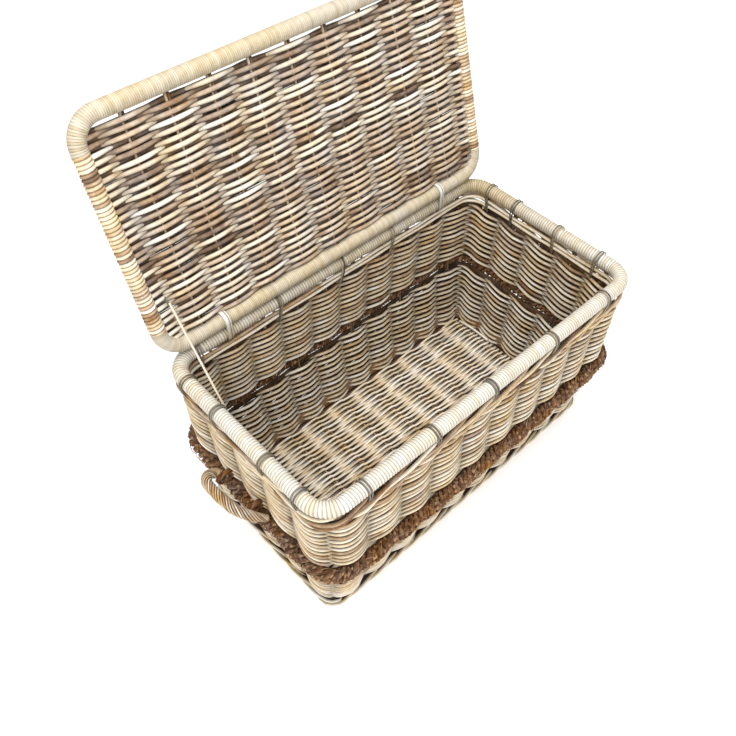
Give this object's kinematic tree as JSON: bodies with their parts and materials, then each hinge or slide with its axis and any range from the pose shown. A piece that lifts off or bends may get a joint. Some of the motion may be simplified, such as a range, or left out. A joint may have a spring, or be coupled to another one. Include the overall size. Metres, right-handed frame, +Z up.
{
  "type": "wicker storage trunk",
  "caption": "Rectangular woven wicker trunk with flared walls, a rope waist band, cane-wrapped rim, hinged woven lid on a cord stay and twisted end handles.",
  "frame": {"origin": "middle of the trunk's underside, on the surface it stands on", "axes": "+X along the trunk's length to the right end, +Y to the back where the lid is hinged, +Z up"},
  "size_m": [0.9022, 0.5715, 0.8233],
  "materials": {
    "kubu_weave": "matte woven strands, natural and whitewashed",
    "rattan_stake": "matte brown rattan poles",
    "cane_binding": "satin bleached cane wrap",
    "cane_tie": "satin grey-brown split cane",
    "banana_rope": "dark fibrous twisted rope",
    "twisted_rattan": "pale twisted strands",
    "stay_cord": "pale beige twisted cord",
    "steel_wire": "dark bent wire"
  },
  "bodies": {
    "base": {"floor_stakes": "rattan_stake", "floor_weave_lower": "kubu_weave", "floor_weave_upper": "kubu_weave", "foot_border": "kubu_weave", "handle_lashing_left_back": "banana_rope", "handle_lashing_left_front": "banana_rope", "handle_lashing_right_back": "banana_rope", "handle_lashing_right_front": "banana_rope", "hinge_loop_left": "cane_binding", "hinge_loop_right": "cane_binding", "lower_weave_inner": "kubu_weave", "lower_weave_outer": "kubu_weave", "rim_binding_back": "cane_binding", "rim_binding_front": "cane_binding", "rim_pole": "rattan_stake", "rim_tie_back_1": "cane_tie", "rim_tie_back_2": "cane_tie", "rim_tie_back_3": "cane_tie", "rim_tie_back_4": "cane_tie", "rim_tie_front_1": "cane_tie", "rim_tie_front_2": "cane_tie", "rim_tie_front_3": "cane_tie", "rim_tie_front_4": "cane_tie", "rim_tie_front_5": "cane_tie", "rim_tie_left_1": "cane_tie", "rim_tie_left_2": "cane_tie", "rim_tie_left_3": "cane_tie", "rim_tie_left_4": "cane_tie", "rim_tie_right_1": "cane_tie", "rim_tie_right_2": "cane_tie", "rim_tie_right_3": "cane_tie", "rim_tie_right_4": "cane_tie", "rope_band": "banana_rope", "stakes_back_wall": "rattan_stake", "stakes_front_wall": "rattan_stake", "stakes_left_wall": "rattan_stake", "stakes_right_wall": "rattan_stake", "stay_cord": "stay_cord", "stay_staple": "steel_wire", "upper_weave_inner": "kubu_weave", "upper_weave_outer": "kubu_weave"},
    "lid": {"lid_back_binding": "cane_binding", "lid_edge_roll_left": "kubu_weave", "lid_edge_roll_right": "kubu_weave", "lid_frame_pole": "rattan_stake", "lid_front_binding": "cane_binding", "lid_stake_1": "rattan_stake", "lid_stake_2": "rattan_stake", "lid_stake_3": "rattan_stake", "lid_stake_4": "rattan_stake", "lid_stake_5": "rattan_stake", "lid_stake_6": "rattan_stake", "lid_stake_7": "rattan_stake", "lid_stake_8": "rattan_stake", "lid_stake_9": "rattan_stake", "lid_weave_inner": "kubu_weave", "lid_weave_outer": "kubu_weave", "stay_ring": "steel_wire"},
    "left_handle": {"handle_left": "twisted_rattan"},
    "right_handle": {"handle_right": "twisted_rattan"}
  },
  "joints": [
    {"name": "lid_hinge", "type": "hinge", "parent": "base", "child": "lid", "pos_m": [0, 0.2035, 0.4208], "axis": [1, 0, 0], "range_deg": [0, 107], "deforming": ["stay_cord"]},
    {"name": "handle_left_swing", "type": "hinge", "parent": "base", "child": "left_handle", "pos_m": [-0.40636, 0.02, 0.2085], "axis": [0, 1, 0], "range_deg": [-75, 45]},
    {"name": "handle_right_swing", "type": "hinge", "parent": "base", "child": "right_handle", "pos_m": [0.40636, 0.02, 0.2085], "axis": [0, -1, 0], "range_deg": [-75, 45]}
  ]
}
